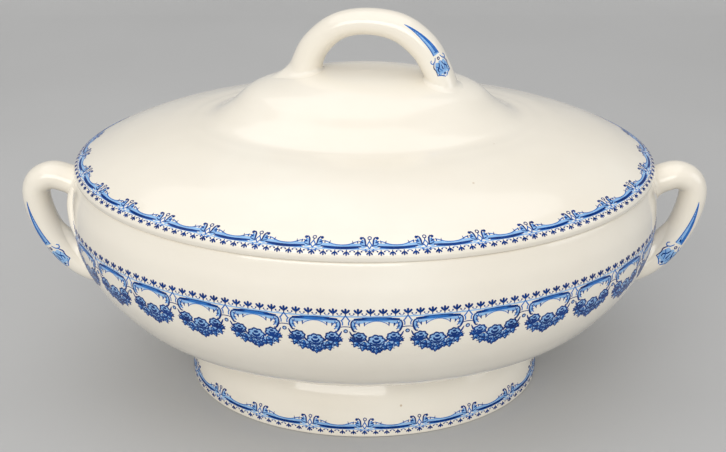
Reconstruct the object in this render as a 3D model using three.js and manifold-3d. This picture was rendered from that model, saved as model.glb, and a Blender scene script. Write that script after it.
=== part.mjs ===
// Oval earthenware soup tureen: bowl, pedestal foot, two side handles, lid and lid handle.
// Millimetres, +Z up, long axis along X, origin on the table under the middle of the foot.
import * as THREE from 'three';
import { mergeVertices } from 'three/addons/utils/BufferGeometryUtils.js';
import Module from 'manifold-3d';

const wasm = await Module();
wasm.setup();

// Driving dimensions.
const ROUND_SEGMENTS = 44;
const SEAM_GAP = 0.3; // left where one piece is luted or rests on another
const BODY_ASPECT = 0.78; // width over length of the bowl, foot and lid rim
const CROWN_ASPECT = 0.64; // width over length of the lid's raised crown
const WALL = 5.5; // bowl and lid wall

const FOOT_HEIGHT = 30;
const FOOT_BASE_HALF_LENGTH = 93;
const FOOT_TOP_HALF_LENGTH = 82.6;
const FOOT_RING_WIDTH = 7;
const BELLY_HALF_LENGTH = 148;
const BELLY_HEIGHT = 90;
const BOWL_RIM_HEIGHT = 117.2;
const LIP_INNER_HALF_LENGTH = 132.5;
const LIP_THICKNESS = 4.5;

const LID_SEAT_HEIGHT = BOWL_RIM_HEIGHT + SEAM_GAP;
const LID_HALF_LENGTH = 145;
const CROWN_HALF_LENGTH = 76;
const CROWN_TOP_HEIGHT = 166;
const CROWN_RAMP_START = 70; // half length where the lid starts to widen towards its rim
const CROWN_RAMP = 65;
const FLANGE_CLEARANCE = 1.5;
const FLANGE_THICKNESS = 4.5;
const FLANGE_DEPTH = 10;

const SIDE_HANDLE_THICKNESS = 14;
const SIDE_HANDLE_WIDTH = 17;
const LID_HANDLE_THICKNESS = 12.5;
const LID_HANDLE_WIDTH = 15.5;
const LID_HANDLE_TOP_HEIGHT = 196.5;
const LID_HANDLE_SKEW = THREE.MathUtils.degToRad(-11);
const HANDLE_STEPS = 14;
const BOWL_STEPS = 14;
const LID_STEPS = 20;
const FOOT_STEPS = 6;

const GLAZE_COLOUR = 0xf4ecdc;
const GLAZE_ROUGHNESS = 0.18;

// ---- shared helpers ----

// One level of an oval body: its half length, half width and height.
function ring(halfLength, height, aspect = BODY_ASPECT) {
  return { halfLength, halfWidth: halfLength * aspect, height };
}

// Rings along a smooth profile through a few [halfLength, height] points.
function smoothRings(points, count, aspectOf = () => BODY_ASPECT) {
  const curve = new THREE.SplineCurve(points.map(([x, z]) => new THREE.Vector2(x, z)));
  return curve.getPoints(count).map((p) => ring(Math.max(p.x, 0), p.y, aspectOf(p.x)));
}

// The same rings moved inward through the wall, square to the profile.
function inset(rings, depth) {
  return rings.map((r, i) => {
    const before = rings[Math.max(i - 1, 0)];
    const after = rings[Math.min(i + 1, rings.length - 1)];
    const run = after.halfLength - before.halfLength;
    const rise = after.height - before.height;
    const length = Math.hypot(run, rise);
    const outward = rise / length;
    return {
      halfLength: Math.max(r.halfLength - depth * outward, 0),
      halfWidth: Math.max(r.halfWidth - depth * outward, 0),
      height: r.height + (depth * run) / length,
    };
  });
}

// A closed oval body: a lathe whose rings are then drawn in to their own widths.
function ovalLathe(rings) {
  const profile = rings.map((r) => new THREE.Vector2(r.halfLength, r.height));
  const geometry = new THREE.LatheGeometry(profile, ROUND_SEGMENTS);
  geometry.rotateX(Math.PI / 2);
  const position = geometry.attributes.position;
  for (let i = 0; i < position.count; i += 1) {
    const r = rings[i % rings.length];
    const narrow = r.halfLength > 0 ? r.halfWidth / r.halfLength : 1;
    position.setY(i, position.getY(i) * narrow);
  }
  return geometry;
}

// The geometry's vertices merged by place, without the flat triangles on the axis.
function welded(geometry) {
  geometry.deleteAttribute('normal');
  geometry.deleteAttribute('uv');
  const merged = mergeVertices(geometry, 1e-4);
  const index = merged.index.array;
  const kept = [];
  for (let i = 0; i < index.length; i += 3) {
    const [a, b, c] = [index[i], index[i + 1], index[i + 2]];
    if (a !== b && b !== c && c !== a) {
      kept.push(a, b, c);
    }
  }
  merged.setIndex(kept);
  return merged;
}

function solid(geometry) {
  const merged = welded(geometry);
  return new wasm.Manifold(new wasm.Mesh({
    numProp: 3,
    vertProperties: new Float32Array(merged.attributes.position.array),
    triVerts: new Uint32Array(merged.index.array),
  }));
}

function geometryOf(manifold) {
  const { vertProperties, triVerts } = manifold.getMesh();
  const geometry = new THREE.BufferGeometry();
  geometry.setAttribute('position', new THREE.BufferAttribute(vertProperties, 3));
  geometry.setIndex(new THREE.BufferAttribute(triVerts, 1));
  geometry.computeVertexNormals();
  return geometry;
}

function glazed(name, geometry) {
  const material = new THREE.MeshStandardMaterial({
    color: GLAZE_COLOUR,
    roughness: GLAZE_ROUGHNESS,
    metalness: 0,
  });
  const mesh = new THREE.Mesh(geometry, material);
  mesh.name = name;
  return mesh;
}

// A bar of oval section along a smooth path that lies in the XZ plane.
function bar(points, width, thickness) {
  const section = new THREE.Shape();
  section.absellipse(0, 0, width / 2, thickness / 2, 0, 2 * Math.PI);
  const path = new THREE.CatmullRomCurve3(points.map(([x, z]) => new THREE.Vector3(x, 0, z)));
  return new THREE.ExtrudeGeometry(section, {
    steps: HANDLE_STEPS,
    curveSegments: 6,
    bevelEnabled: false,
    extrudePath: path,
  });
}

// A flattened boss that spreads a handle's root over the wall it is luted to.
function boss([x, y, z], [rx, ry, rz], tilt) {
  const geometry = new THREE.SphereGeometry(1, 16, 10);
  geometry.scale(rx, ry, rz);
  geometry.rotateY(tilt);
  geometry.translate(x, y, z);
  return geometry;
}

// ---- bowl ----

const bowlWall = [
  [FOOT_TOP_HALF_LENGTH, FOOT_HEIGHT + SEAM_GAP],
  [101, 35.8],
  [115, 41.2],
  [126, 48.6],
  [135, 58.5],
  [141.5, 68],
  [146, 78],
  [BELLY_HALF_LENGTH, BELLY_HEIGHT],
  [147.4, 104],
  [145, 113.2],
];

function makeBowl() {
  const outer = smoothRings(bowlWall, BOWL_STEPS);
  const inner = inset(outer, WALL).slice(0, -1).reverse();
  const lipTop = BOWL_RIM_HEIGHT;
  const lip = [
    ring(144, lipTop - 1.4),
    ring(142, lipTop),
    ring(LIP_INNER_HALF_LENGTH + 1, lipTop),
    ring(LIP_INNER_HALF_LENGTH, lipTop - 1),
    ring(LIP_INNER_HALF_LENGTH, lipTop - LIP_THICKNESS),
    ring(LIP_INNER_HALF_LENGTH + 4, lipTop - LIP_THICKNESS - 2),
  ];
  const floor = outer[0].height + WALL;
  return ovalLathe([
    ring(0, outer[0].height),
    ...outer,
    ...lip,
    ...inner,
    ring(0, floor),
  ]);
}

// ---- foot ----

const footWall = [
  [FOOT_BASE_HALF_LENGTH, 1.5],
  [92.8, 5],
  [91.8, 10],
  [89.8, 15.5],
  [87, 21],
  [84, 26],
  [FOOT_TOP_HALF_LENGTH, FOOT_HEIGHT - 0.8],
];

function makeFoot() {
  const outer = smoothRings(footWall, FOOT_STEPS);
  const inner = inset(outer, FOOT_RING_WIDTH).reverse();
  const top = ring(FOOT_TOP_HALF_LENGTH - 0.6, FOOT_HEIGHT);
  const topInner = { ...inner[0], height: FOOT_HEIGHT };
  const baseOuter = ring(FOOT_BASE_HALF_LENGTH - 1.2, 0);
  const baseInner = ring(FOOT_BASE_HALF_LENGTH - FOOT_RING_WIDTH, 0);
  return ovalLathe([baseOuter, ...outer, top, topInner, ...inner.slice(1, -1), baseInner, baseOuter]);
}

// ---- side handles ----

const sideHandlePath = [
  [139, 103.5],
  [150, 107.8],
  [159, 110.2],
  [166.3, 106.5],
  [168.2, 98],
  [165, 84],
  [158, 71],
  [149, 61.5],
  [139.5, 57],
  [129, 57],
  [116, 59.5],
];

// The bowl grown by the seam gap, filled in, so that a handle can be cut to seat on it.
function bowlCutter() {
  const grown = inset(smoothRings(bowlWall, BOWL_STEPS), -SEAM_GAP);
  const top = grown[grown.length - 1];
  return solid(ovalLathe([
    ring(0, grown[0].height),
    ...grown,
    { ...top, height: LID_SEAT_HEIGHT + 20 },
    ring(0, LID_SEAT_HEIGHT + 20),
  ]));
}

function makeSideHandle(side) {
  const upperRoot = boss([146, 0, 104], [6, 13, 9], 0);
  const lowerRoot = boss([136, 0, 58], [9, 12, 7], -Math.PI / 5);
  const whole = solid(bar(sideHandlePath, SIDE_HANDLE_WIDTH, SIDE_HANDLE_THICKNESS))
    .add(solid(upperRoot))
    .add(solid(lowerRoot))
    .subtract(bowlCutter());
  const turned = side < 0 ? whole.rotate([0, 0, 180]) : whole;
  return geometryOf(turned);
}

// ---- lid ----

// The lid is as slender as the bowl at its rim and narrows towards the crown.
function lidAspect(halfLength) {
  const towardsRim = THREE.MathUtils.clamp((halfLength - CROWN_RAMP_START) / CROWN_RAMP, 0, 1);
  return THREE.MathUtils.lerp(CROWN_ASPECT, BODY_ASPECT, towardsRim);
}

const lidTop = [
  [LID_HALF_LENGTH, 120.4],
  [144, 122.2],
  [141, 124],
  [133, 128],
  [119, 133.8],
  [99, 139.3],
  [86, 141.4],
  [CROWN_HALF_LENGTH, 143.2],
  [66, 149.3],
  [56.5, 157.2],
  [43, 161.6],
  [24, 164.9],
  [0, CROWN_TOP_HEIGHT],
];

function makeLid() {
  const outer = smoothRings(lidTop, LID_STEPS, lidAspect);
  const flangeOuter = LIP_INNER_HALF_LENGTH - FLANGE_CLEARANCE;
  const flangeInner = flangeOuter - FLANGE_THICKNESS;
  const flangeBottom = LID_SEAT_HEIGHT - FLANGE_DEPTH;
  const inner = inset(outer, WALL).filter((r) => r.halfLength < flangeInner - 4).reverse();
  const ceiling = ring(0, CROWN_TOP_HEIGHT - WALL);
  return ovalLathe([
    ceiling,
    ...inner.filter((r) => r.halfLength > 4),
    ring(flangeInner, flangeBottom + 1),
    ring(flangeInner + 1, flangeBottom),
    ring(flangeOuter - 1, flangeBottom),
    ring(flangeOuter, flangeBottom + 1),
    ring(flangeOuter, LID_SEAT_HEIGHT),
    ring(LID_HALF_LENGTH - 1.8, LID_SEAT_HEIGHT),
    ring(LID_HALF_LENGTH - 0.4, LID_SEAT_HEIGHT + 1.2),
    ...outer.slice(0, -1),
    ring(0, CROWN_TOP_HEIGHT, CROWN_ASPECT),
  ]);
}

// ---- lid handle ----

const archTop = LID_HANDLE_TOP_HEIGHT - LID_HANDLE_THICKNESS / 2;
const lidHandlePath = [
  [-31.5, 158],
  [-29.5, 166],
  [-24.5, 177],
  [-13.5, 186.8],
  [1, archTop],
  [17, 187.9],
  [29, 179.2],
  [35.5, 168.5],
  [40.5, 157],
];

function makeLidHandle() {
  const lidCutter = solid(ovalLathe([
    ring(0, LID_SEAT_HEIGHT, CROWN_ASPECT),
    ...inset(smoothRings(lidTop, LID_STEPS, lidAspect), -SEAM_GAP).slice(0, -1),
    ring(0, CROWN_TOP_HEIGHT + SEAM_GAP, CROWN_ASPECT),
  ]));
  const leftRoot = boss([-36, 0, 162.5], [13, 9.5, 5], 0.12);
  const rightRoot = boss([41.5, 0, 161], [10, 9.5, 5], -0.25);
  const whole = solid(bar(lidHandlePath, LID_HANDLE_WIDTH, LID_HANDLE_THICKNESS))
    .add(solid(leftRoot))
    .add(solid(rightRoot))
    .rotate([0, 0, THREE.MathUtils.radToDeg(LID_HANDLE_SKEW)])
    .subtract(lidCutter);
  return geometryOf(whole);
}

// ---- assembly ----

const tureen = new THREE.Group();
tureen.name = 'tureen';
tureen.add(
  glazed('foot', welded(makeFoot())),
  glazed('bowl', welded(makeBowl())),
  glazed('handle_left', makeSideHandle(-1)),
  glazed('handle_right', makeSideHandle(1)),
);

const cover = new THREE.Group();
cover.name = 'cover';
cover.add(
  glazed('lid', welded(makeLid())),
  glazed('lid_handle', makeLidHandle()),
);

const object = new THREE.Group();
object.add(tureen, cover);

export default object;
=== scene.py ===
"""Oval soup tureen with a blue printed border: glazed bodies, print, studio and camera.

Shapes are worked out in millimetres in the part's own frame and scaled by MM when a mesh is made.
"""
import math

import bpy
import numpy as np
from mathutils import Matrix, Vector


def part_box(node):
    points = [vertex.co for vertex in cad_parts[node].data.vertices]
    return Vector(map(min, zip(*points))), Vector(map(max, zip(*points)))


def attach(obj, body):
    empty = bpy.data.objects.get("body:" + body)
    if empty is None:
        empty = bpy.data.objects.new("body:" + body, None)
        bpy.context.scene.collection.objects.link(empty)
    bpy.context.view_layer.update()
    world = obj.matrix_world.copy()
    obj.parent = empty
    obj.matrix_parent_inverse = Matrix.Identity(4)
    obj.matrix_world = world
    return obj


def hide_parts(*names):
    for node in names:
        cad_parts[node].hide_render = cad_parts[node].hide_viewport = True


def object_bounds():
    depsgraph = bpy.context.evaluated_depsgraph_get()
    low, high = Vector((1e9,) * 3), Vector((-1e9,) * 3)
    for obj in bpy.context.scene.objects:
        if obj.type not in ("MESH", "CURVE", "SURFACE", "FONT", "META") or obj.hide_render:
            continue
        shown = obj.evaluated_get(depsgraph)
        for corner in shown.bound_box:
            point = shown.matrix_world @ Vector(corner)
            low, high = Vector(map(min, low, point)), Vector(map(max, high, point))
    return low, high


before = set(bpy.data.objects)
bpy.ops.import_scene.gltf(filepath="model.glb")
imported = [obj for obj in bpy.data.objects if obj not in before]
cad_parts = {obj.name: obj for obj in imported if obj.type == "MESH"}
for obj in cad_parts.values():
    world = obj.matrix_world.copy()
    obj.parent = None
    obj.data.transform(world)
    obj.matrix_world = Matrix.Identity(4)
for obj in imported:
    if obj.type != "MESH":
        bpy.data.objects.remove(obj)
cad_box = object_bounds()

# ---- driving dimensions, millimetres ----

BODY_ASPECT = 0.78
CROWN_ASPECT = 0.64
WALL = 5.5
FOOT_TOP_HALF_LENGTH = 82.6
FOOT_TOP_HEIGHT = 30.0
FOOT_BASE_HALF_LENGTH = 93.0
FOOT_RING_WIDTH = 7.0
SEAM = 0.3
RIM_HEIGHT = 117.2
LIP_INNER = 132.5
LID_SEAT = RIM_HEIGHT + SEAM
FLANGE_OUTER = LIP_INNER - 1.5
FLANGE_INNER = FLANGE_OUTER - 4.5
FLANGE_BOTTOM = LID_SEAT - 10
CROWN_TOP = 166.0
CROWN_RAMP_START = 70.0
CROWN_RAMP = 65.0

AROUND = 288          # segments round each oval body
AROUND_HANDLE = 56    # segments round a handle's section
ALONG_HANDLE = 90     # stations along a handle
FILLET_ROWS = 8       # rows in the curve that spreads a handle's root over the wall
SINK = 0.2            # how deep a root's last row lies in the wall

# The bowl's wall runs between two known heights, which ties these millimetres to the frame.
bowl_low, bowl_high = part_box("bowl")
MM = (bowl_high[2] - bowl_low[2]) / (RIM_HEIGHT - FOOT_TOP_HEIGHT - SEAM)
ORIGIN = Vector((
    (bowl_high[0] + bowl_low[0]) / 2,
    (bowl_high[1] + bowl_low[1]) / 2,
    bowl_high[2] - RIM_HEIGHT * MM,
))

# ---- curves and meshes ----


def catmull(points, count):
    """Places along a smooth curve through a few points."""
    points = np.asarray(points, float)
    padded = np.vstack([points[:1], points, points[-1:]])
    t = np.linspace(0, len(points) - 1, count)
    i = np.minimum(t.astype(int), len(points) - 2)
    w = (t - i)[:, None]
    p0, p1, p2, p3 = (padded[i + k] for k in range(4))
    v0 = (p2 - p0) / 2
    v1 = (p3 - p1) / 2
    cubic = (2 * p1 - 2 * p2 + v0 + v1) * w**3
    square = (3 * p2 - 3 * p1 - 2 * v0 - v1) * w**2
    return cubic + square + v0 * w + p1


def rounded(corners, steps=5):
    """An outline through (x, y, radius) corners, each corner rounded by an arc."""
    corners = [np.array(c, float) for c in corners]
    outline = [corners[0][:2]]
    for before, corner, after in zip(corners, corners[1:], corners[2:]):
        middle, radius = corner[:2], corner[2]
        back = before[:2] - middle
        ahead = after[:2] - middle
        back /= np.linalg.norm(back)
        ahead /= np.linalg.norm(ahead)
        half = math.acos(np.clip(back @ ahead, -1, 1)) / 2
        start = middle + back * radius / math.tan(half)
        end = middle + ahead * radius / math.tan(half)
        for t in np.linspace(0, 1, steps + 1):
            outline.append((1 - t) ** 2 * start + 2 * t * (1 - t) * middle + t**2 * end)
    outline.append(corners[-1][:2])
    return np.array(outline)


def unit(v):
    return v / np.maximum(np.linalg.norm(v, axis=-1, keepdims=True), 1e-9)


def volume(vertices, faces):
    """The signed volume inside a closed mesh, from a fan of triangles on each face."""
    total = 0.0
    for size in {len(f) for f in faces}:
        corners = vertices[np.array([f for f in faces if len(f) == size])]
        for k in range(1, size - 1):
            a, b, c = corners[:, 0], corners[:, k], corners[:, k + 1]
            total += np.einsum("ij,ij->i", a, np.cross(b, c)).sum() / 6
    return total


def piece(name, vertices, faces, material, body, flat_angle=None):
    """A closed mesh from millimetre vertices, facing out, riding on a body."""
    vertices = np.asarray(vertices, float)
    if volume(vertices, faces) < 0:
        faces = [f[::-1] for f in faces]
    mesh = bpy.data.meshes.new(name)
    mesh.from_pydata((vertices * MM + np.array(ORIGIN)).tolist(), [], [list(f) for f in faces])
    mesh.polygons.foreach_set("use_smooth", [True] * len(mesh.polygons))
    if flat_angle is not None:
        mesh.set_sharp_from_angle(angle=math.radians(flat_angle))
    mesh.materials.append(material)
    mesh.update()
    obj = bpy.data.objects.new(name, mesh)
    bpy.context.scene.collection.objects.link(obj)
    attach(obj, body)
    return obj


def grid_faces(rows, columns, closed_rows=False):
    """Quads between rows of vertices that each run once round."""
    faces = []
    for i in range(rows if closed_rows else rows - 1):
        a = i * columns
        b = ((i + 1) % rows) * columns
        for j in range(columns):
            k = (j + 1) % columns
            faces.append((a + j, a + k, b + k, b + j))
    return faces


# ---- oval bodies ----


def body_aspect(half_length):
    return np.full_like(np.asarray(half_length, float), BODY_ASPECT)


def lid_aspect(half_length):
    """The lid is as slender as the bowl at its rim and narrows towards the crown."""
    towards_rim = np.clip((np.asarray(half_length, float) - CROWN_RAMP_START) / CROWN_RAMP, 0, 1)
    return CROWN_ASPECT + (BODY_ASPECT - CROWN_ASPECT) * towards_rim


def rings(outline, aspect_of=body_aspect):
    """Half length, half width and height at each level of an outline."""
    outline = np.asarray(outline, float)
    half_length = np.maximum(outline[:, 0], 0)
    return np.column_stack([half_length, half_length * aspect_of(half_length), outline[:, 1]])


def inset(levels, depth):
    """The levels moved inward through the wall, square to the outline."""
    run = np.gradient(levels[:, 0])
    rise = np.gradient(levels[:, 2])
    length = np.hypot(run, rise)
    moved = levels.copy()
    moved[:, 0] -= depth * rise / length
    moved[:, 1] -= depth * rise / length
    moved[:, 2] += depth * run / length
    return moved


def lathe(levels, closed=False):
    """Vertices and faces of an oval body; a level of no size is one vertex on the axis."""
    theta = np.linspace(0, 2 * math.pi, AROUND, endpoint=False)
    vertices, starts = [], []
    for half_length, half_width, height in levels:
        starts.append(len(vertices))
        if half_length < 1e-6:
            vertices.append((0, 0, height))
        else:
            x = half_length * np.cos(theta)
            y = half_width * np.sin(theta)
            vertices.extend(zip(x, y, np.full(AROUND, height)))
    faces = []
    pairs = list(zip(range(len(levels)), range(1, len(levels))))
    if closed:
        pairs.append((len(levels) - 1, 0))
    for lower, upper in pairs:
        a, b = starts[lower], starts[upper]
        for j in range(AROUND):
            k = (j + 1) % AROUND
            if levels[lower][0] < 1e-6:
                faces.append((a, b + k, b + j))
            elif levels[upper][0] < 1e-6:
                faces.append((a + j, a + k, b))
            else:
                faces.append((a + j, a + k, b + k, b + j))
    return np.array(vertices), faces


class OvalWall:
    """The outer surface of an oval body, for laying print and handle roots on."""

    SAMPLES = 600
    SECTORS = 60

    def __init__(self, outline, aspect_of=body_aspect):
        self.levels = rings(catmull(outline, self.SAMPLES), aspect_of)
        self.aspect_of = aspect_of
        self.slope = np.gradient(self.levels, axis=0)

    def place(self, theta, u, lift=0.0):
        """Points at angle theta and sample u, lifted square to the surface."""
        at = np.arange(self.SAMPLES)
        length, width, height = (np.interp(u, at, self.levels[:, k]) for k in range(3))
        run, run_width, rise = (np.interp(u, at, self.slope[:, k]) for k in range(3))
        c, s = np.cos(theta), np.sin(theta)
        points = np.column_stack([length * c, width * s, height])
        normal = np.column_stack([
            width * c * rise,
            length * s * rise,
            -(length * s * run_width * s + width * c * run * c),
        ])
        return points + unit(normal) * np.reshape(lift, (-1, 1)), unit(normal)

    def nearest(self, points):
        """Angle, sample and signed distance (outside is positive) of each point."""
        x, y, z = points.T
        radius = np.hypot(x, y / CROWN_ASPECT)
        for _ in range(4):
            radius = np.hypot(x, y / self.aspect_of(radius))
        theta = np.arctan2(y / self.aspect_of(radius), x)
        line = self.levels[:, [0, 2]]
        best = np.empty(len(points), int)
        for start in range(0, len(points), 4000):
            some = slice(start, start + 4000)
            gap = (radius[some, None] - line[:, 0]) ** 2 + (z[some, None] - line[:, 1]) ** 2
            best[some] = gap.argmin(axis=1)
        tangent = unit(self.slope[:, [0, 2]])[best]
        step = np.linalg.norm(self.slope[:, [0, 2]], axis=1)[best]
        offset = np.column_stack([radius, z]) - line[best]
        u = best + np.clip((offset * tangent).sum(axis=1) / step, -1, 1)
        signed = offset[:, 0] * tangent[:, 1] - offset[:, 1] * tangent[:, 0]
        return theta, np.clip(u, 0, self.SAMPLES - 1), signed

    def measure(self, height, repeats):
        """Sets the line that print is measured from, and how often it repeats round it."""
        rising = np.interp(height, self.levels[:, 2], np.arange(self.SAMPLES))
        self.datum = rising
        theta = np.linspace(-math.pi / 2, 3 * math.pi / 2, 4001)
        ring, _ = self.place(theta, np.full(theta.shape, rising))
        steps = np.linalg.norm(np.diff(ring, axis=0), axis=1)
        self.travel = np.concatenate([[0], np.cumsum(steps)])
        self.theta = theta
        self.period = self.travel[-1] / repeats
        self.climbs = []
        for angle in np.linspace(0, math.pi / 2, self.SECTORS + 1):
            line, _ = self.place(np.full(self.SAMPLES, angle), np.arange(self.SAMPLES))
            climb = np.concatenate([[0], np.cumsum(np.linalg.norm(np.diff(line, axis=0), axis=1))])
            self.climbs.append(climb - np.interp(rising, np.arange(self.SAMPLES), climb))

    def lay(self, along, up, lift):
        """Points at distances along the datum line, from the front, and up the wall."""
        theta = np.interp(along % self.travel[-1], self.travel, self.theta)
        fold = np.abs((theta + math.pi / 2) % math.pi - math.pi / 2)
        sector = np.clip(fold / (math.pi / 2) * self.SECTORS, 0, self.SECTORS - 1e-6)
        whole = sector.astype(int)
        part = sector - whole
        u = np.empty(len(along))
        at = np.arange(self.SAMPLES)
        for k in range(self.SECTORS):
            some = whole == k
            near = np.interp(up[some], self.climbs[k], at)
            far = np.interp(up[some], self.climbs[k + 1], at)
            u[some] = near + (far - near) * part[some]
        return self.place(theta, u, lift)[0]


# ---- handles ----


class Handle:
    """A bar of oval section along a path in the XZ plane, both ends spread over a wall."""

    def __init__(self, path, width, thickness, wall, turn=0.0):
        dense = catmull(path, 1200)
        run = np.concatenate([[0], np.cumsum(np.linalg.norm(np.diff(dense, axis=0), axis=1))])
        self.run = np.linspace(0, run[-1], 500)
        centre = np.column_stack([np.interp(self.run, run, dense[:, k]) for k in range(2)])
        tangent = unit(np.gradient(centre, axis=0))
        self.centre = centre
        self.outward = np.column_stack([-tangent[:, 1], tangent[:, 0]])
        self.width = width
        self.thickness = thickness
        self.wall = wall
        c, s = math.cos(turn), math.sin(turn)
        self.turned = np.array([[c, -s, 0], [s, c, 0], [0, 0, 1]])

    def place(self, run, phi, lift=0.0):
        """Points on the bar: phi is 0 on its outer side and grows towards the front."""
        thick = np.interp(run, self.run, self.thickness_along()) / 2
        wide = np.interp(run, self.run, self.width_along()) / 2
        cx, cz, ox, oz = (
            np.interp(run, self.run, values)
            for values in (*self.centre.T, *self.outward.T)
        )
        normal = unit(np.column_stack([np.cos(phi) / thick, np.sin(phi) / wide]))
        out = np.cos(phi) * thick + normal[:, 0] * lift
        side = np.sin(phi) * wide + normal[:, 1] * lift
        points = np.column_stack([cx + ox * out, -side, cz + oz * out])
        return points @ self.turned.T

    def thickness_along(self):
        return self.thickness(self.run / self.run[-1])

    def width_along(self):
        return self.width(self.run / self.run[-1])

    def root(self, phi, ends, height, spread):
        """Rows that leave the bar and run out over the wall, and where each row starts."""
        run = self.run if ends == "start" else self.run[::-1]
        at, angle = np.meshgrid(run, phi, indexing="ij")
        points = self.place(at.ravel(), angle.ravel())
        distance = self.wall.nearest(points)[2].reshape(at.shape)

        def crossing(level):
            level = level * np.ones(len(phi))
            first = (distance > level).argmax(axis=0)
            first = np.maximum(first, 1)
            column = np.arange(len(phi))
            low = distance[first - 1, column]
            high = distance[first, column]
            part = np.clip((level - low) / (high - low), 0, 1)
            return run[first - 1] + (run[first] - run[first - 1]) * part

        hit_run = crossing(0.0)
        leave_run = crossing(height(phi))
        hit = self.place(hit_run, phi)
        leave = self.place(leave_run, phi)
        theta, u, _ = self.wall.nearest(hit)
        hit, normal = self.wall.place(theta, u)
        away = hit - hit.mean(axis=0)
        away = unit(away - normal * (away * normal).sum(axis=1, keepdims=True))
        theta, u, _ = self.wall.nearest(hit + away * spread(phi)[:, None])
        end, _ = self.wall.place(theta, u, -SINK)
        rows = []
        for t in np.linspace(0, 1, FILLET_ROWS + 1)[1:]:
            rows.append((1 - t) ** 2 * leave + 2 * t * (1 - t) * hit + t**2 * end)
        theta, u, _ = self.wall.nearest(end.mean(axis=0)[None, :])
        pole, _ = self.wall.place(theta, u, -SINK * 4)
        return leave_run, rows, pole[0]

    def mesh(self, start, end):
        """Vertices and faces; start and end are (height, spread) of each root's curve."""
        phi = np.linspace(0, 2 * math.pi, AROUND_HANDLE, endpoint=False)
        first, head, head_pole = self.root(phi, "start", *start)
        last, tail, tail_pole = self.root(phi, "end", *end)
        rows = head[::-1]
        for t in np.linspace(0, 1, ALONG_HANDLE):
            rows.append(self.place(first + (last - first) * t, phi))
        rows += tail
        vertices = np.vstack([*rows, head_pole[None, :], tail_pole[None, :]])
        faces = grid_faces(len(rows), AROUND_HANDLE)
        top = len(rows) * AROUND_HANDLE
        base = top - AROUND_HANDLE
        for j in range(AROUND_HANDLE):
            k = (j + 1) % AROUND_HANDLE
            faces.append((top, k, j))
            faces.append((top + 1, base + j, base + k))
        return vertices, faces


# ---- printed ornament ----

LIFT = {"wash": 0.03, "mid": 0.045, "dark": 0.06}   # how far each tone stands off the surface
UNDER = -0.02                # underside of every stroke, just inside the surface
BLUNT = 0.02                 # share of a disc's height left at its two ends
WIDEST_ON_WALL = 1.8         # broadest strip that still follows an oval wall
WIDEST_ON_HANDLE = 0.7       # broadest strip that still follows a handle
FULL_PALMETTE = 3.6          # height of a palmette drawn at full stroke width
INK_EDGE_ANGLE = 30          # edges sharper than this stay crisp, degrees


class Motif:
    """Flat brush strokes in millimetres, kept by tone, to be laid on a surface.

    A ribbon broader than `widest` is split lengthwise, so that it can follow a curved surface.
    """

    def __init__(self, widest):
        self.widest = widest
        self.strokes = {tone: [] for tone in LIFT}

    def ribbon(self, tone, line, half):
        """A ribbon along a line; half is the step from the line to its left edge."""
        parts = max(1, math.ceil(2 * np.linalg.norm(half, axis=1).max() / self.widest))
        self.strokes[tone].append([line + half * (1 - 2 * k / parts) for k in range(parts + 1)])

    def stroke(self, tone, points, widths, stations=None):
        """A ribbon along points, its width going through the given widths."""
        points = np.asarray(points, float)
        count = stations or (2 if len(points) == 2 else 2 * len(points) + 1)
        line = catmull(points, count)
        widths = np.atleast_1d(np.asarray(widths, float))
        share = np.linspace(0, 1, len(widths)) if len(widths) > 1 else np.array([0.0])
        width = np.interp(np.linspace(0, 1, count), share, widths)
        across = unit(np.gradient(line, axis=0))
        across = np.column_stack([-across[:, 1], across[:, 0]])
        self.ribbon(tone, line, across * width[:, None] / 2)

    def disc(self, tone, x, y, rx, ry=None, sides=4):
        ry = ry or rx
        t = -np.cos(np.linspace(0, math.pi, sides + 1))
        line = np.column_stack([x + t * rx, np.full(sides + 1, y)])
        half = np.maximum(np.sqrt(1 - t**2), BLUNT) * ry
        self.ribbon(tone, line, np.column_stack([np.zeros(sides + 1), half]))

    def arc(self, tone, x, y, radius, start, end, widths, stations=6, flatten=1.0):
        angle = np.radians(np.linspace(start, end, stations))
        points = np.column_stack([x + radius * np.cos(angle), y + radius * flatten * np.sin(angle)])
        self.stroke(tone, points, widths, stations)

    def both(self, tone, points, widths, middle=0.0, stations=None):
        """The same stroke on both sides of a middle line."""
        points = np.asarray(points, float)
        self.stroke(tone, points + [middle, 0], widths, stations)
        self.stroke(tone, points * [-1, 1] + [middle, 0], widths, stations)

    def solids(self, tone):
        """Vertices (x, y, lift) and quads of a tone's ribbons as thin closed strips."""
        vertices, faces = [], []
        count = 0
        for edges in self.strokes[tone]:
            across, n = len(edges), len(edges[0])
            loop = [(edge, LIFT[tone]) for edge in edges]
            loop += [(edge, UNDER) for edge in edges[::-1]]
            for edge, lift in loop:
                vertices.append(np.column_stack([edge, np.full(n, lift)]))
            corner = [count + k * n for k in range(2 * across)]
            for k in range(2 * across):
                a, b = corner[k], corner[(k + 1) % (2 * across)]
                for i in range(n - 1):
                    faces.append((a + i, b + i, b + i + 1, a + i + 1))
            for k in range(across - 1):
                a, b = corner[k], corner[k + 1]
                c, d = corner[2 * across - 2 - k], corner[2 * across - 1 - k]
                faces.append((d, c, b, a))
                faces.append((a + n - 1, b + n - 1, c + n - 1, d + n - 1))
            count += 2 * across * n
        return np.vstack(vertices), np.array(faces)


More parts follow.
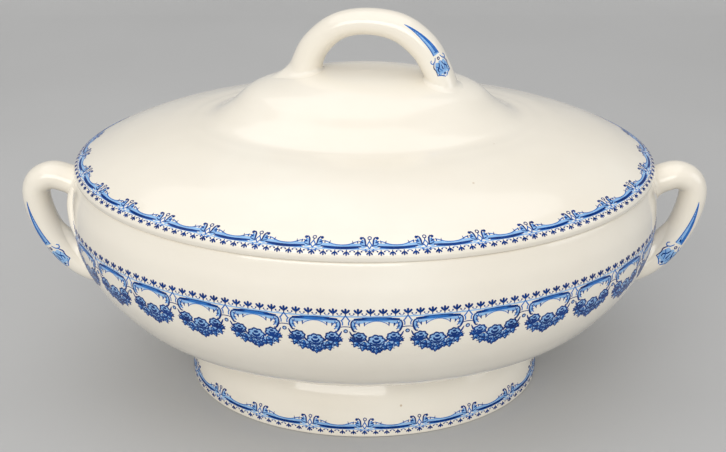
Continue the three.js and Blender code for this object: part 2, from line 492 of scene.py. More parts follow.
def leaf(motif, base, tip, width):
    """A serrated leaf: pale blade with one darker half, drawn edges, a vein and barbs."""
    base, tip = np.array(base, float), np.array(tip, float)
    along = tip - base
    across = unit(np.array([-along[1], along[0]]))
    middle = base + along * 0.45
    motif.stroke("wash", [base, middle, tip], [0.35 * width, width, 0.1], 6)
    half = across * width * 0.2
    motif.stroke("mid", [base, middle + half, tip], [0.2, 0.55 * width, 0.15], 6)
    for side in (-1, 1):
        bulge = middle + across * side * width * 0.45
        motif.stroke("dark", [base, bulge, tip], [0.3, 0.5, 0.45], 5)
        for share, reach in ((0.3, 0.8), (0.62, 0.66)):
            root = base + along * share
            barb = base + along * (share + 0.16) + across * side * width * reach
            motif.stroke("dark", [root, barb], [0.55, 0.4])
    motif.stroke("dark", [base, tip], [0.4, 0.35])


def rose(motif, x, y, radius):
    """An open rose: a ring of scalloped petals round a cupped dark heart."""
    tall = 0.84
    motif.disc("wash", x, y, radius, radius * tall, sides=8)
    for angle in range(10, 370, 45):
        petal_x = x + 0.66 * radius * math.cos(math.radians(angle))
        petal_y = y + 0.66 * radius * tall * math.sin(math.radians(angle))
        start, end = angle - 95, angle + 95
        motif.arc("dark", petal_x, petal_y, 0.33 * radius, start, end, [0.4, 0.9, 0.4], 5, tall)
    motif.arc("dark", x, y, 0.7 * radius, 200, 340, [0.4, 0.9, 0.4], 6, tall)
    motif.arc("dark", x, y + 0.08 * radius, 0.4 * radius, 165, 375, [0.6, 1.6, 0.6], 7, tall)
    motif.disc("dark", x, y + 0.32 * radius, 0.3 * radius, 0.2 * radius)


def palmettes(motif, spacing, count, root, tip, first):
    """A row of small palmettes with dots and loops between them; tip - root sets which way up."""
    way = math.copysign(1.0, tip - root)
    height = abs(tip - root)
    size = height / FULL_PALMETTE
    for k in range(count):
        x = first + k * spacing
        y = root + way * height * 0.38
        centre = [(x, y), (x, y + way * height * 0.3), (x, tip)]
        motif.stroke("dark", centre, np.array([0.6, 0.9, 1.2, 0.5]) * size, 5)
        for side in (-1, 1):
            bend = (x + side * 0.95 * size, y + way * height * 0.16)
            head = (x + side * 1.65 * size, y + way * height * 0.46)
            motif.stroke("dark", [(x, y), bend, head], np.array([0.6, 0.9, 1.1, 0.7]) * size, 5)
        motif.disc("dark", x, y, 0.7 * size, 0.5 * size, sides=5)
        motif.stroke("dark", [(x, y), (x, root)], [0.6 * size, 0.42])
        middle = x + spacing / 2
        for side in (-1, 1):
            motif.disc("dark", middle + side * 0.9, root + way * height * 0.3, 0.38, 0.36)
        low = root + way * height * 0.05
        high = root + way * height * 0.2
        motif.stroke("mid", [(middle - 0.9, high), (middle, low), (middle + 0.9, high)], 0.28, 4)


def garland_motif(period):
    """One repeat of the bowl's border: bar and arch above, a festoon of roses below."""
    m = Motif(WIDEST_ON_WALL)
    half = period / 2
    palmettes(m, period / 5, 5, 3.4, 7.0, -half)
    m.stroke("wash", [(-half, 3.05), (half, 3.05)], 0.6, 7)
    m.stroke("wash", [(-9.8, 1.5), (-5, 1.35), (0, 1.75), (5, 1.35), (9.8, 1.5)],
             [1.2, 2.3, 1.9, 2.3, 1.2], 9)
    bar = [(-9.9, 1.7), (-5, 1.9), (0, 2.0), (5, 1.9), (9.9, 1.7)]
    m.stroke("mid", bar, [0.7, 1.6, 1.7, 1.6, 0.7], 9)
    m.both("dark", [(9.9, 1.65), (7.5, 1.8), (4.2, 2.0)], [0.9, 1.25, 0.2], stations=5)
    m.stroke("dark", [(-6.4, 2.45), (0, 2.65), (6.4, 2.45)], 0.4, 6)
    arch = [(-5.3, -1.4), (-4.3, -0.35), (-1.9, 0.7), (0, 0.9), (1.9, 0.7), (4.3, -0.35), (5.3, -1.4)]
    m.stroke("mid", arch, 0.34, 13)
    m.both("dark", [(5.3, 0.3), (5.35, -1.7)], [0.75, 0.15])
    m.both("dark", [(7.6, -0.1), (7.35, -1.9)], [0.75, 0.15])
    m.both("mid", [(9.1, 0.3), (8.2, -0.5), (7.5, -1.5)], [0.5, 0.3])
    m.both("wash", [(4.6, 0.6), (7, 0.2), (9.2, 0.6)], [0.6, 1.3, 0.6])
    # where two repeats meet: a lozenge over a ring, scrolls on both sides of it
    for side in (-1, 1):
        def at(points):
            return [(side * (half - x), y) for x, y in points]
        m.stroke("mid", at([(0, 3.6), (0.7, 2.5), (1.5, 1.3)]), [0.5, 0.6])
        m.stroke("mid", at([(1.95, 1.3), (1.3, 0.1), (1.35, -1.3)]), [0.65, 0.5, 0.55])
        m.stroke("dark", at([(0.0, -2.0), (1.2, -2.05), (2.2, -2.3)]), [0.4, 0.35])
        m.stroke("wash", at([(3.3, 1.4), (3.0, -0.6), (3.5, -3.4)]), [1.2, 1.7, 1.0])
        m.stroke("dark", at([(3.9, 1.5), (2.7, 0.7), (2.3, -1.0), (2.8, -2.9), (3.7, -4.5), (4.6, -4.4)]),
                 [0.6, 0.6, 0.7, 0.95, 0.8, 0.5], 10)
        m.stroke("mid", at([(4.7, 0.9), (3.9, -0.6), (4.2, -2.4), (4.9, -3.4)]), [0.4, 0.65, 0.5])
        m.stroke("dark", at([(3.5, 0.3), (4.6, -0.7)]), [0.5, 0.2])
        m.stroke("dark", at([(3.4, -1.7), (4.9, -1.9)]), [0.6, 0.2])
        m.stroke("dark", at([(1.7, -4.4), (2.2, -5.6), (2.9, -7.0)]), [0.3, 0.7, 0.9])
    # the ring itself is drawn once, at the right-hand meeting
    m.arc("dark", half, -4.3, 0.8, 0, 360, 0.5, 9)
    m.disc("wash", half - 0.1, -4.2, 0.5)
    # festoon
    m.stroke("wash", [(-10.5, -9.0), (-6.5, -12.0), (0, -13.6), (6.5, -12.0), (10.5, -9.0)],
             [1.5, 4.2, 4.6, 4.2, 1.5], 11)
    for side in (-1, 1):
        leaf(m, (side * 8.0, -8.6), (side * 9.9, -13.4), 2.7)
        leaf(m, (side * 9.2, -7.6), (side * 11.9, -10.0), 2.2)
        leaf(m, (side * 5.2, -10.0), (side * 6.3, -15.9), 3.3)
        leaf(m, (side * 2.8, -11.8), (side * 3.9, -15.4), 2.4)
        leaf(m, (side * 1.2, -13.2), (side * 1.9, -16.9), 1.6)
    leaf(m, (0, -13.2), (0, -18.2), 2.3)
    m.both("dark", [(2.9, -15.0), (1.5, -16.2), (0.2, -17.3)], [0.6, 0.7, 0.4])
    m.both("dark", [(4.9, -8.4), (4.0, -10.2)], [0.9, 0.6])
    m.both("dark", [(8.0, -10.4), (6.6, -12.0), (4.6, -13.0)], [0.5, 0.9, 0.5])
    rose(m, -7.5, -7.6, 3.1)
    rose(m, 7.5, -7.4, 3.1)
    rose(m, 0, -9.6, 3.9)
    return m


def border_motif(period, tall):
    """One repeat of the lid's and foot's border, from one lozenge to the next."""
    m = Motif(WIDEST_ON_WALL)
    wide = period / 24

    def at(points):
        return [(x * wide, y * tall) for x, y in points]

    palmettes(m, period / 5, 5, -2.6 * tall, -5.4 * tall, 0.0)
    m.stroke("wash", at([(0, -2.1), (12, -2.2), (24, -2.1)]), 0.5, 7)
    m.stroke("wash", at([(3.0, 0.2), (7, -0.2), (12, -0.75), (17, -0.2), (21.0, 0.2)]),
             [1.1, 1.7, 1.1, 1.7, 1.1], 9)
    m.stroke("dark", at([(3.4, -0.75), (7.5, -1.35), (12, -1.6), (16.5, -1.35), (20.6, -0.75)]),
             [0.5, 1.2, 1.25, 1.2, 0.5], 9)
    m.stroke("mid", at([(4.2, -1.6), (8, -2.0), (12, -2.15), (16, -2.0), (19.8, -1.6)]), 0.35, 7)

    def mirrored(tone, points, widths, stations=None):
        m.stroke(tone, at(points), widths, stations)
        m.stroke(tone, at([(24 - x, y) for x, y in points]), widths, stations)

    mirrored("mid", [(4.6, 2.0), (6.6, 1.3), (8.2, 0.5), (10, 0.1), (12, 0.0)], [0.5, 0.36], 8)
    mirrored("dark", [(6.9, 0.7), (7.3, 2.3)], [0.6, 0.12])
    mirrored("dark", [(5.0, 0.9), (4.8, 2.4)], [0.6, 0.12])
    mirrored("wash", [(2.2, -0.2), (2.8, 1.2), (2.9, 2.8)], [1.6, 2.0, 0.9])
    mirrored("dark", [(1.5, -0.4), (1.7, 1.3), (1.9, 2.8), (2.7, 4.0), (3.6, 3.7)],
             [0.5, 0.7, 0.75, 0.6, 0.5], 9)
    mirrored("mid", [(3.9, 0.6), (3.3, 1.6), (3.0, 2.7)], [0.8, 0.7, 0.4])
    mirrored("dark", [(2.6, 1.2), (4.3, 2.0)], [0.7, 0.4])
    mirrored("wash", [(1.2, -0.2), (2.8, -0.9), (4.0, -1.0)], [1.3, 1.5, 0.5])
    mirrored("dark", [(1.0, -0.6), (2.4, -0.3), (3.8, 0.3)], [0.35, 0.5, 0.2])
    mirrored("mid", [(1.9, -2.3), (1.0, -3.0), (0, -3.3)], [0.5, 0.45])
    for x in (3.5, 24 - 3.5):
        m.disc("dark", x * wide, 3.6 * tall, 0.72)
    # lozenge, stem and ring over the first meeting, drawn once
    for side in (-1, 1):
        for end in (-1, 1):
            m.stroke("mid", [(0, end * 1.9 * tall), (side * 1.05, 0)], 0.5)
    m.stroke("dark", at([(0, 1.9), (0.1, 3.2)]), [0.5, 0.3])
    m.arc("dark", 0.15, 3.7 * tall, 0.78, 0, 360, 0.45, 8)
    return m


def spray_motif():
    """The single spray on a handle: a hatched spear, a dot and a scrolled cartouche."""
    m = Motif(WIDEST_ON_HANDLE)
    spear = 20.0
    m.stroke("wash", [(0, 0), (spear * 0.5, 0), (spear, 0)], [0.4, 2.4, 3.8], 13)
    m.stroke("mid", [(spear * 0.05, -0.2), (spear * 0.5, -0.5), (spear * 0.97, -0.7)],
             [0.3, 1.0, 1.4], 13)
    for side in (-1, 1):
        m.stroke("mid", [(0, 0), (spear * 0.5, side * 1.1), (spear, side * 1.8)], [0.3, 0.6], 13)
    for k in range(16):
        x = spear * (0.14 + 0.055 * k)
        reach = 1.8 * x / spear
        m.stroke("mid", [(x - 0.6, -reach), (x + 0.6, reach)], 0.4)
    m.stroke("dark", [(spear * 0.3, 0.1), (spear * 0.95, 0.3)], [0.2, 0.8])
    m.arc("dark", spear + 2.0, 0, 0.62, 0, 360, 0.5, 8)
    start = spear + 1.0
    for side in (-1, 1):
        def at(points):
            return [(start + x, side * y) for x, y in points]
        m.stroke("mid", at([(0, 1.6), (1.6, 2.6), (2.3, 4.3), (1.1, 4.9), (0.3, 4.0)]),
                 [0.4, 0.6, 0.55, 0.4], 9)
        m.stroke("dark", at([(2.4, 3.6), (4.4, 4.6), (6.2, 4.1), (8.8, 4.4)]), [0.4, 0.65, 0.5, 0.4], 8)
        m.stroke("mid", at([(8.8, 4.5), (9.3, 2.4), (10.8, 0.3)]), [0.5, 0.6, 0.5], 6)
        m.stroke("dark", at([(3.0, 0.9), (4.9, 1.5), (6.2, 2.9), (7.6, 2.6)]), [0.4, 0.7, 0.4], 7)
        m.stroke("mid", at([(4.0, 3.4), (5.6, 1.9), (7.9, 0.8)]), [0.35, 0.55, 0.35], 6)
        m.stroke("wash", at([(2.6, 1.8), (6.0, 2.5), (9.0, 2.2)]), [2.0, 3.4, 2.6], 9)
        m.stroke("dark", at([(8.4, 3.4), (7.4, 1.7)]), [0.5, 0.2])
    m.stroke("wash", [(start + 2.2, 0), (start + 9.8, 0)], [1.4, 2.4], 7)
    m.stroke("dark", [(start + 4.4, 0), (start + 7.2, 0)], [0.3, 0.8])
    m.disc("dark", start + 9.2, 0, 0.6)
    return m


def print_band(name, wall, motif, repeats, shift, body, inks):
    """A motif repeated round an oval wall, one piece for each tone."""
    for tone in LIFT:
        flat, quads = motif.solids(tone)
        count = len(flat)
        start = np.arange(repeats) * wall.period + shift
        along = (start[:, None] + flat[:, 0]).ravel()
        up = np.tile(flat[:, 1], repeats)
        lift = np.tile(flat[:, 2], repeats)
        vertices = wall.lay(along, up, lift)
        faces = np.vstack([quads + k * count for k in range(repeats)])
        piece(f"{name}_{tone}", vertices, faces.tolist(), inks[tone], body, INK_EDGE_ANGLE)


def print_spray(name, handle, motif, run, phi, body, inks, size, flip=None):
    """The spray laid along a handle from a distance along it, at angle phi round it."""
    for tone in LIFT:
        flat, quads = motif.solids(tone)
        radius = (handle.width_along().mean() + handle.thickness_along().mean()) / 4
        along = run + flat[:, 0] * size
        angle = phi + flat[:, 1] * size / radius
        vertices = handle.place(along, angle, flat[:, 2])
        if flip is not None:
            vertices = vertices * flip
        piece(f"{name}_{tone}", vertices, quads.tolist(), inks[tone], body, INK_EDGE_ANGLE)


# ---- materials ----


def node_material(name):
    material = bpy.data.materials.new(name)
    material.use_nodes = True
    tree = material.node_tree
    shader = tree.nodes["Principled BSDF"]
    place = tree.nodes.new("ShaderNodeTexCoord")
    return material, tree, shader, place


def noise(tree, place, scale, detail=3.0, roughness=0.5):
    node = tree.nodes.new("ShaderNodeTexNoise")
    node.inputs["Scale"].default_value = scale
    node.inputs["Detail"].default_value = detail
    node.inputs["Roughness"].default_value = roughness
    tree.links.new(place.outputs["Object"], node.inputs["Vector"])
    return node


def ramp(tree, source, stops):
    node = tree.nodes.new("ShaderNodeValToRGB")
    elements = node.color_ramp.elements
    while len(elements) < len(stops):
        elements.new(0.5)
    for element, (position, colour) in zip(elements, stops):
        element.position = position
        element.color = (*colour, 1)
    tree.links.new(source, node.inputs["Fac"])
    return node


def spread_values(tree, source, low, high):
    node = tree.nodes.new("ShaderNodeMapRange")
    node.inputs["To Min"].default_value = low
    node.inputs["To Max"].default_value = high
    tree.links.new(source, node.inputs["Value"])
    return node


GLAZE_IOR = 1.5
COAT_ROUGHNESS = 0.03


def gloss(shader, specular, coat):
    """The shine of the clear glaze; it is set lower on the inks, so that they stay deep."""
    shader.inputs["IOR"].default_value = GLAZE_IOR
    shader.inputs["Specular IOR Level"].default_value = specular
    shader.inputs["Coat Weight"].default_value = coat
    shader.inputs["Coat Roughness"].default_value = COAT_ROUGHNESS
    shader.inputs["Coat IOR"].default_value = GLAZE_IOR


def glaze_material():
    material, tree, shader, place = node_material("ivory_glaze_fine")
    clouds = noise(tree, place, 14.0, 4.0)
    tint = ramp(tree, clouds.outputs["Fac"], [
        (0.30, (0.835, 0.775, 0.66)),
        (0.55, (0.865, 0.81, 0.70)),
        (0.75, (0.895, 0.85, 0.745)),
    ])
    # specks in the clay: small cells, shown only where a second noise is high
    cells = tree.nodes.new("ShaderNodeTexVoronoi")
    cells.inputs["Scale"].default_value = 70.0
    tree.links.new(place.outputs["Object"], cells.inputs["Vector"])
    specks = ramp(tree, cells.outputs["Distance"], [
        (0.0, (1, 1, 1)),
        (0.035, (1, 1, 1)),
        (0.05, (0, 0, 0)),
    ])
    rare = noise(tree, place, 31.0, 0.0)
    chosen = ramp(tree, rare.outputs["Fac"], [(0.62, (0, 0, 0)), (0.66, (1, 1, 1))])
    both = tree.nodes.new("ShaderNodeMath")
    both.operation = "MULTIPLY"
    tree.links.new(specks.outputs["Color"], both.inputs[0])
    tree.links.new(chosen.outputs["Color"], both.inputs[1])
    mix = tree.nodes.new("ShaderNodeMix")
    mix.data_type = "RGBA"
    tree.links.new(both.outputs[0], mix.inputs[0])
    tree.links.new(tint.outputs["Color"], mix.inputs[6])
    mix.inputs[7].default_value = (0.62, 0.50, 0.36, 1)
    tree.links.new(mix.outputs[2], shader.inputs["Base Color"])
    smears = noise(tree, place, 45.0, 3.0)
    rough = spread_values(tree, smears.outputs["Fac"], 0.10, 0.22)
    tree.links.new(rough.outputs[0], shader.inputs["Roughness"])
    waves = noise(tree, place, 24.0, 1.0)
    bump = tree.nodes.new("ShaderNodeBump")
    bump.inputs["Strength"].default_value = 0.35
    bump.inputs["Distance"].default_value = 0.0006
    tree.links.new(waves.outputs["Fac"], bump.inputs["Height"])
    tree.links.new(bump.outputs["Normal"], shader.inputs["Normal"])
    gloss(shader, specular=0.4, coat=0.45)
    return material


def ink_material(name, pale, deep):
    material, tree, shader, place = node_material(name)
    pooled = noise(tree, place, 160.0, 3.0, 0.6)
    tint = ramp(tree, pooled.outputs["Fac"], [(0.32, deep), (0.68, pale)])
    tree.links.new(tint.outputs["Color"], shader.inputs["Base Color"])
    smears = noise(tree, place, 45.0, 3.0)
    rough = spread_values(tree, smears.outputs["Fac"], 0.12, 0.24)
    tree.links.new(rough.outputs[0], shader.inputs["Roughness"])
    gloss(shader, specular=0.15, coat=0.1)
    return material


GLAZE = glaze_material()
INKS = {
    "wash": ink_material("blue_wash", (0.33, 0.54, 0.80), (0.20, 0.39, 0.69)),
    "mid": ink_material("blue_mid", (0.03, 0.18, 0.54), (0.015, 0.11, 0.40)),
    "dark": ink_material("blue_dark", (0.002, 0.045, 0.24), (0.001, 0.020, 0.13)),
}

# ---- bowl ----

BOWL_WALL = [
    (FOOT_TOP_HALF_LENGTH, FOOT_TOP_HEIGHT + SEAM),
    (101, 35.8),
    (115, 41.2),
    (126, 48.6),
    (135, 58.5),
    (141.5, 68),
    (146, 78),
    (148, 90),
    (147.4, 104),
    (145, 113.2),
]


def make_bowl():
    outer = rings(catmull(BOWL_WALL, 76))
    lip = rings(rounded([
        (144.7, 114.2, 0),
        (143.4, RIM_HEIGHT, 1.6),
        (LIP_INNER, RIM_HEIGHT, 0.9),
        (LIP_INNER, RIM_HEIGHT - 4.5, 1.4),
        (LIP_INNER + 5.5, RIM_HEIGHT - 6.8, 0),
    ]))
    inner = inset(outer, WALL)[:-3][::-1]
    bottom = outer[0][2]
    levels = np.vstack([
        [(0, 0, bottom)],
        rings([(60, bottom), (FOOT_TOP_HALF_LENGTH - 1.5, bottom)]),
        outer,
        lip,
        inner,
        rings([(70, bottom + WALL)]),
        [(0, 0, bottom + WALL)],
    ])
    vertices, faces = lathe(levels)
    bowl = piece("bowl_body", vertices, faces, GLAZE, "tureen")
    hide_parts("bowl")
    return OvalWall(BOWL_WALL)


# ---- foot ----

FOOT_WALL = [
    (FOOT_BASE_HALF_LENGTH, 1.5),
    (92.8, 5),
    (91.8, 10),
    (89.8, 15.5),
    (87, 21),
    (84, 26),
    (FOOT_TOP_HALF_LENGTH, FOOT_TOP_HEIGHT - 0.8),
]


def make_foot():
    outer = rings(catmull(FOOT_WALL, 40))
    inner = inset(outer, FOOT_RING_WIDTH)[2:-2][::-1]
    top = rings(rounded([
        (FOOT_TOP_HALF_LENGTH - 0.1, FOOT_TOP_HEIGHT - 0.6, 0),
        (FOOT_TOP_HALF_LENGTH - 0.3, FOOT_TOP_HEIGHT, 0.3),
        (FOOT_TOP_HALF_LENGTH - FOOT_RING_WIDTH, FOOT_TOP_HEIGHT, 0),
    ], 3))
    base = rings(rounded([
        (FOOT_BASE_HALF_LENGTH - FOOT_RING_WIDTH, 2.0, 0),
        (FOOT_BASE_HALF_LENGTH - FOOT_RING_WIDTH, 0, 1.0),
        (FOOT_BASE_HALF_LENGTH, 0, 1.2),
        (FOOT_BASE_HALF_LENGTH, 1.3, 0),
    ]))
    vertices, faces = lathe(np.vstack([outer, top, inner, base]), closed=True)
    foot = piece("foot_body", vertices, faces, GLAZE, "tureen")
    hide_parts("foot")
    return OvalWall(FOOT_WALL)


JOIN_BEAD = 0.95
JOIN_SECTION = 10
JOIN_AROUND = 720


def make_join_bead():
    """The rough bead of slip and glaze where the foot is luted to the bowl."""
    theta = np.linspace(0, 2 * math.pi, JOIN_AROUND, endpoint=False)
    angle = np.linspace(0, 2 * math.pi, JOIN_SECTION, endpoint=False)
    t, a = np.meshgrid(theta, angle, indexing="ij")
    coarse = 0.24 * np.sin(23 * t + 2 * np.sin(5 * t))
    fine = 0.20 * np.sin(71 * t + 3 * np.sin(11 * t))
    radius = JOIN_BEAD * (1 + coarse + fine)
    out = radius * np.cos(a)
    vertices = np.column_stack([
        ((FOOT_TOP_HALF_LENGTH + out) * np.cos(t)).ravel(),
        ((FOOT_TOP_HALF_LENGTH * BODY_ASPECT + out) * np.sin(t)).ravel(),
        (FOOT_TOP_HEIGHT + SEAM / 2 + radius * np.sin(a)).ravel(),
    ])
    faces = grid_faces(JOIN_AROUND, JOIN_SECTION, closed_rows=True)
    piece("foot_join_bead", vertices, faces, GLAZE, "tureen")


# ---- lid ----

LID_TOP = [
    (145, 120.4),
    (144, 122.2),
    (141, 124),
    (133, 128),
    (119, 133.8),
    (99, 139.3),
    (86, 141.4),
    (76, 143.2),
    (66, 149.3),
    (56.5, 157.2),
    (43, 161.6),
    (24, 164.9),
    (0, CROWN_TOP),
]


def make_lid():
    outer = rings(catmull(LID_TOP, 110), lid_aspect)
    inner = inset(outer, WALL)
    inner = inner[(inner[:, 0] < FLANGE_INNER - 3) & (inner[:, 0] > 3)][::-1]
    edge = rings(rounded([
        (FLANGE_INNER, FLANGE_BOTTOM + 12, 0),
        (FLANGE_INNER, FLANGE_BOTTOM, 1.2),
        (FLANGE_OUTER, FLANGE_BOTTOM, 1.2),
        (FLANGE_OUTER, LID_SEAT, 0.8),
        (144.2, LID_SEAT, 1.2),
        (145, 119.8, 0),
    ]))
    levels = np.vstack([
        [(0, 0, CROWN_TOP - WALL)],
        inner,
        edge,
        outer[:-1],
        [(0, 0, CROWN_TOP)],
    ])
    vertices, faces = lathe(levels)
    lid = piece("lid_body", vertices, faces, GLAZE, "cover")
    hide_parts("lid")
    return OvalWall(LID_TOP, lid_aspect)


# ---- handles ----

SIDE_HANDLE_PATH = [
    (139, 103.5),
    (150, 107.8),
    (159, 110.2),
    (166.3, 106.5),
    (168.2, 98),
    (165, 84),
    (158, 71),
    (149, 61.5),
    (139.5, 57),
    (129, 57),
    (116, 59.5),
]
LID_HANDLE_PATH = [
    (-31.5, 158),
    (-29.5, 166),
    (-24.5, 177),
    (-13.5, 186.8),
    (1, 190.25),
    (17, 187.9),
    (29, 179.2),
    (35.5, 168.5),
    (40.5, 157),
]
LID_HANDLE_SKEW = math.radians(-11)


def varied(*stops):
    """A size that runs through (share of the length, size) stops along a handle."""
    shares, sizes = zip(*stops)
    dense = np.linspace(0, 1, 60)
    raw = np.interp(np.linspace(-0.1, 1.1, 72), shares, sizes)
    smooth = np.convolve(raw, np.ones(13) / 13, "valid")
    return lambda share: np.interp(share, dense, smooth)


def lobe(phi, towards, sharpness):
    """1 in one direction round a section, falling to 0 away from it."""
    return np.maximum(np.cos(phi - towards), 0) ** sharpness


def make_side_handles(bowl_wall):
    width = varied((0, 19), (0.2, 17), (0.6, 16.5), (0.85, 18.5), (1, 21))
    thickness = varied((0, 14), (0.3, 14), (0.8, 14), (1, 15))
    handle = Handle(SIDE_HANDLE_PATH, width, thickness, bowl_wall)
    inside = math.pi
    upper = (
        lambda phi: 3.0 + 4.0 * lobe(phi, inside, 2),
        lambda phi: 3.0 + 8.0 * lobe(phi, inside, 2),
    )
    lower = (
        lambda phi: 1.5 + 8.5 * lobe(phi, inside, 1.5) + 3.0 * np.sin(phi) ** 2,
        lambda phi: 1.2 + 11.0 * lobe(phi, inside, 2) + 9.0 * np.sin(phi) ** 2,
    )
    vertices, faces = handle.mesh(upper, lower)
    for name, flip in (("right", (1, 1, 1)), ("left", (-1, 1, 1))):
        side = piece(f"handle_{name}_body", vertices * flip, faces, GLAZE, "tureen")
        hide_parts(f"handle_{name}")
    return handle


RIDGES = [
    # (distance round the wall from the handle's middle, height up it, half width, rise)
    [(6, 15, 4.0, 2.4), (11, 13, 3.0, 2.1), (15, 8, 2.2, 1.6), (17, 1, 1.6, 1.0), (17.5, -6, 1.0, 0.3)],
    [(7, 13, 4.0, 3.0), (14, 11, 3.0, 2.8), (21, 8, 2.3, 2.3), (28, 4.5, 1.8, 1.6), (34, 1, 1.1, 0.4)],
]
RIDGE_STATIONS = 26
RIDGE_SECTION = 16
RIDGE_EDGE_ANGLE = 60


def make_ridges(bowl_wall):
    """Two tapered ridges on the wall beside each side handle's upper root.

    They lie at the front on the left handle and at the back on the right one.
    """
    angle = np.linspace(0, 2 * math.pi, RIDGE_SECTION, endpoint=False)
    quarter = bowl_wall.travel[-1] / 4
    vertices, faces = [], []
    for k, points in enumerate(RIDGES):
        line = catmull(points, RIDGE_STATIONS)
        along = quarter - line[:, 0]
        tangent = unit(np.gradient(np.column_stack([along, line[:, 1]]), axis=0))
        side = np.cos(angle)[None, :] * line[:, 2:3]
        vertices.append(bowl_wall.lay(
            (along[:, None] - tangent[:, 1:] * side).ravel(),
            (line[:, 1:2] + tangent[:, :1] * side).ravel(),
            (np.sin(angle)[None, :] * line[:, 3:4]).ravel(),
        ))
        first = k * RIDGE_STATIONS * RIDGE_SECTION
        last = first + (RIDGE_STATIONS - 1) * RIDGE_SECTION
        faces += [tuple(first + i for i in face) for face in grid_faces(RIDGE_STATIONS, RIDGE_SECTION)]
        faces.append(tuple(first + j for j in reversed(range(RIDGE_SECTION))))
        faces.append(tuple(last + j for j in range(RIDGE_SECTION)))
    vertices = np.vstack(vertices)
    for name, flip in (("right", (1, -1, 1)), ("left", (-1, 1, 1))):
        piece(f"handle_{name}_ridges", vertices * flip, faces, GLAZE, "tureen",
              RIDGE_EDGE_ANGLE)


def make_lid_handle(lid_wall):
    width = varied((0, 19), (0.25, 16), (0.5, 15.5), (0.8, 16), (1, 18.5))
    thickness = varied((0, 16.5), (0.3, 13), (0.5, 12.3), (0.7, 14.5), (0.78, 14.5), (1, 13.5))
    handle = Handle(LID_HANDLE_PATH, width, thickness, lid_wall, LID_HANDLE_SKEW)
    outside, front, inside = 0.0, math.pi / 2, math.pi
    left = (
        lambda phi: 1.6 + 6.0 * lobe(phi, outside, 2) + 1.5 * lobe(phi, inside, 2),
        lambda phi: 2.0 + 14.0 * lobe(phi, outside, 6) + 5.5 * lobe(phi, front, 2),
    )
    right = (
        lambda phi: 1.5 + 1.2 * lobe(phi, inside, 2),
        lambda phi: 1.6 + 4.0 * lobe(phi, outside, 3) + 4.5 * lobe(phi, front, 2),
    )
    vertices, faces = handle.mesh(left, right)
    knob = piece("lid_handle_body", vertices, faces, GLAZE, "cover")
    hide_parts("lid_handle")
    return handle


# ---- studio ----

# metres
FLOOR_SIZE = 3.0
FLOOR_BACK = 0.7             # where the floor starts to curve up
SWEEP_RADIUS = 0.5
BACKDROP_TOP = 2.2
FLOOR_GAP = 0.0002           # keeps the floor clear of the foot
LENS = 58.75                 # millimetres
CAMERA_ELEVATION = math.radians(25.5)
CAMERA_DISTANCE = 0.616
AIM_LEFT_OF_CENTRE = 0.0008
AIM_BELOW_CENTRE = 0.0171


def stage_material():
    material, tree, shader, place = node_material("pale_floor")
    clouds = noise(tree, place, 3.0, 2.0)
    tint = ramp(tree, clouds.outputs["Fac"], [(0.3, (0.47, 0.47, 0.465)), (0.7, (0.51, 0.51, 0.505))])
    tree.links.new(tint.outputs["Color"], shader.inputs["Base Color"])
    shader.inputs["Roughness"].default_value = 0.75
    return material


def make_stage(low):
    """A floor that curves up into a backdrop behind the object."""
    depth = [(-FLOOR_SIZE / 2, 0.0), (FLOOR_BACK, 0.0)]
    for angle in np.radians(np.linspace(0, 90, 13)):
        rise = SWEEP_RADIUS - SWEEP_RADIUS * math.cos(angle)
        depth.append((FLOOR_BACK + SWEEP_RADIUS * math.sin(angle), rise))
    depth.append((FLOOR_BACK + SWEEP_RADIUS, BACKDROP_TOP))
    vertices, faces = [], []
    for k, (y, z) in enumerate(depth):
        for x in (-FLOOR_SIZE, FLOOR_SIZE):
            vertices.append((x, y, z + low))
        if k:
            faces.append((2 * k - 2, 2 * k - 1, 2 * k + 1, 2 * k))
    mesh = bpy.data.meshes.new("studio_floor")
    mesh.from_pydata(vertices, [], faces)
    mesh.polygons.foreach_set("use_smooth", [True] * len(mesh.polygons))
    mesh.materials.append(stage_material())
    floor = bpy.data.objects.new("studio_floor", mesh)
    bpy.context.scene.collection.objects.link(floor)


def area_light(name, place, size, power, colour, target):
    light = bpy.data.lights.new(name, "AREA")
    light.shape = "RECTANGLE"
    light.size, light.size_y = size
    light.energy = power
    light.color = colour
    lamp = bpy.data.objects.new(name, light)
    lamp.location = place
    lamp.rotation_euler = (Vector(target) - Vector(place)).to_track_quat("-Z", "Y").to_euler()
    bpy.context.scene.collection.objects.link(lamp)


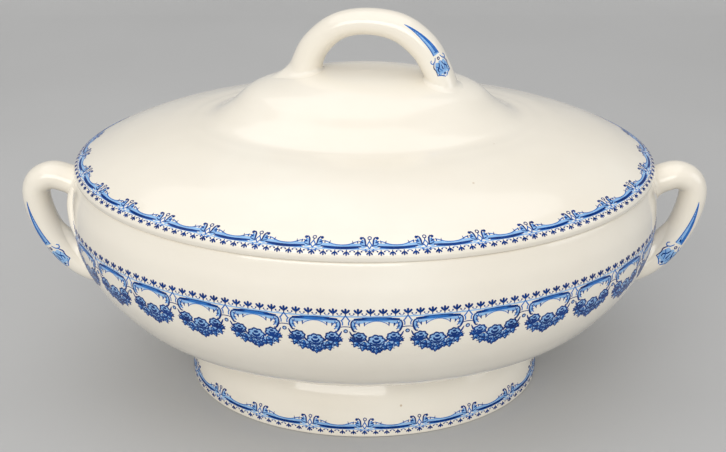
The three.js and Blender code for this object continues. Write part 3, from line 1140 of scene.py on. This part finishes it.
def make_studio():
    (x0, y0, z0), (x1, y1, z1) = cad_box
    centre = Vector(((x0 + x1) / 2, (y0 + y1) / 2, (z0 + z1) / 2))
    make_stage(z0 - FLOOR_GAP)
    area_light("overhead", (-0.25, 0.05, 1.9), (3.0, 2.6), 25.0, (1.0, 0.985, 0.96), centre)
    area_light("front", (-0.5, -2.1, 1.25), (2.2, 1.3), 37.0, (1.0, 0.99, 0.97), centre)
    area_light("right", (1.9, -0.5, 0.9), (1.2, 1.2), 7.0, (0.97, 0.98, 1.0), centre)
    world = bpy.data.worlds.new("studio")
    world.use_nodes = True
    sky = world.node_tree.nodes["Background"]
    sky.inputs["Color"].default_value = (0.92, 0.94, 1.0, 1)
    sky.inputs["Strength"].default_value = 0.32
    bpy.context.scene.world = world
    bpy.context.scene.view_settings.view_transform = "Standard"

    camera = bpy.data.objects.new("camera", bpy.data.cameras.new("camera"))
    camera.data.lens = LENS
    camera.data.clip_start = 0.01
    aim = centre - Vector((AIM_LEFT_OF_CENTRE, 0, AIM_BELOW_CENTRE))
    away = Vector((0, -math.cos(CAMERA_ELEVATION), math.sin(CAMERA_ELEVATION)))
    camera.location = aim + away * CAMERA_DISTANCE
    camera.rotation_euler = (-away).to_track_quat("-Z", "Y").to_euler()
    bpy.context.scene.collection.objects.link(camera)
    bpy.context.scene.camera = camera


# ---- assembly ----

# how often each border repeats, the height it is measured from, and its shift round the wall
BOWL_REPEATS = 31
BOWL_DATUM = 90.1
BOWL_SHIFT = -8.3            # from half a repeat past the front
LID_REPEATS = 33
LID_DATUM = 124.4
LID_SHIFT = 1.9
FOOT_REPEATS = 19
FOOT_DATUM = 6.7
BORDER_TALL = 0.92           # height of the lid's and foot's border against its drawing
SIDE_SPRAY_START = 38.0      # along the handle
SIDE_SPRAY_SIZE = 1.22
RIGHT_SPRAY_ANGLE = math.radians(78)
LEFT_SPRAY_ANGLE = math.radians(62)
LID_SPRAY_START = 68.0
LID_SPRAY_SIZE = 0.92
LID_SPRAY_ANGLE = math.radians(50)

bowl_wall = make_bowl()
foot_wall = make_foot()
make_join_bead()
lid_wall = make_lid()
side_handle = make_side_handles(bowl_wall)
lid_handle = make_lid_handle(lid_wall)

bowl_wall.measure(BOWL_DATUM, BOWL_REPEATS)
make_ridges(bowl_wall)
print_band("bowl_print", bowl_wall, garland_motif(bowl_wall.period), BOWL_REPEATS,
           bowl_wall.period / 2 + BOWL_SHIFT, "tureen", INKS)
lid_wall.measure(LID_DATUM, LID_REPEATS)
lid_border = border_motif(lid_wall.period, BORDER_TALL)
print_band("lid_print", lid_wall, lid_border, LID_REPEATS, LID_SHIFT, "cover", INKS)
foot_wall.measure(FOOT_DATUM, FOOT_REPEATS)
foot_border = border_motif(foot_wall.period, BORDER_TALL)
print_band("foot_print", foot_wall, foot_border, FOOT_REPEATS, 0.0, "tureen", INKS)

spray = spray_motif()
print_spray("right_spray", side_handle, spray, SIDE_SPRAY_START, RIGHT_SPRAY_ANGLE, "tureen", INKS,
            SIDE_SPRAY_SIZE)
print_spray("left_spray", side_handle, spray, SIDE_SPRAY_START, LEFT_SPRAY_ANGLE, "tureen", INKS,
            SIDE_SPRAY_SIZE, (-1, 1, 1))
print_spray("lid_spray", lid_handle, spray, LID_SPRAY_START, LID_SPRAY_ANGLE, "cover", INKS,
            LID_SPRAY_SIZE)

make_studio()
